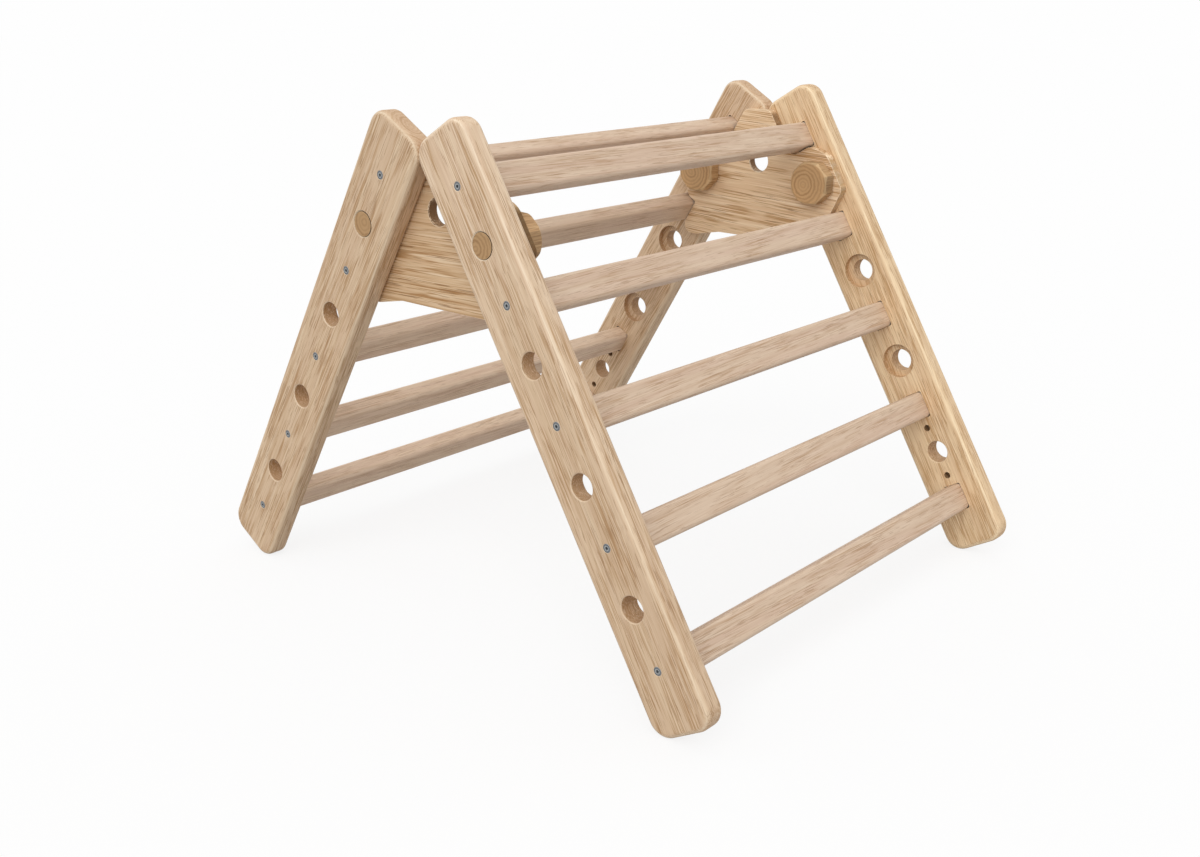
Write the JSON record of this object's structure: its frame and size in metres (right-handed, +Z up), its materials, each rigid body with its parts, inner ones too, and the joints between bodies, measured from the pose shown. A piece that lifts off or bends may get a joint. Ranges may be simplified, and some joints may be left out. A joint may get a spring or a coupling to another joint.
{
  "type": "folding climbing triangle",
  "caption": "Wooden climbing triangle: two rung ladders hinged on a pair of side plates by large pull-out pegs, with rows of peg holes in the side rails.",
  "frame": {"origin": "centre of the footprint, on the floor under the ridge where the two ladders meet", "axes": "+X towards the front ladder across the spread feet, +Y along the rungs towards the right rails, +Z up"},
  "size_m": [0.72, 0.6, 0.54],
  "materials": {
    "rail_wood": "sanded, oiled, matte",
    "rung_wood": "planed smooth, matte",
    "plate_wood": "open-grained, matte",
    "peg_wood": "end grain, matte",
    "screw_zinc": "zinc plated"
  },
  "bodies": {
    "back_frame": {"back_left_rail": "rail_wood", "back_right_rail": "rail_wood", "back_rung_1": "rung_wood", "back_rung_2": "rung_wood", "back_rung_3": "rung_wood", "back_rung_4": "rung_wood", "back_rung_5": "rung_wood", "left_plate": "plate_wood", "right_plate": "plate_wood", "back_left_screws": "screw_zinc", "back_right_screws": "screw_zinc"},
    "front_frame": {"front_left_rail": "rail_wood", "front_right_rail": "rail_wood", "front_rung_1": "rung_wood", "front_rung_2": "rung_wood", "front_rung_3": "rung_wood", "front_rung_4": "rung_wood", "front_rung_5": "rung_wood", "front_left_screws": "screw_zinc", "front_right_screws": "screw_zinc"},
    "front_left_peg": {"front_left_peg": "peg_wood"},
    "front_right_peg": {"front_right_peg": "peg_wood"},
    "back_left_peg": {"back_left_peg": "peg_wood"},
    "back_right_peg": {"back_right_peg": "peg_wood"}
  },
  "joints": [
    {"name": "fold", "type": "hinge", "parent": "back_frame", "child": "front_frame", "pos_m": [0.08601, 0, 0.42668], "axis": [0, 1, 0], "range_deg": [0, 25]},
    {"name": "front_left_peg_pull", "type": "slide", "parent": "back_frame", "child": "front_left_peg", "axis": [0, 1, 0], "range_m": [0, 0.026]},
    {"name": "front_right_peg_pull", "type": "slide", "parent": "back_frame", "child": "front_right_peg", "axis": [0, -1, 0], "range_m": [0, 0.026]},
    {"name": "back_left_peg_pull", "type": "slide", "parent": "back_frame", "child": "back_left_peg", "axis": [0, 1, 0], "range_m": [0, 0.026]},
    {"name": "back_right_peg_pull", "type": "slide", "parent": "back_frame", "child": "back_right_peg", "axis": [0, -1, 0], "range_m": [0, 0.026]}
  ]
}
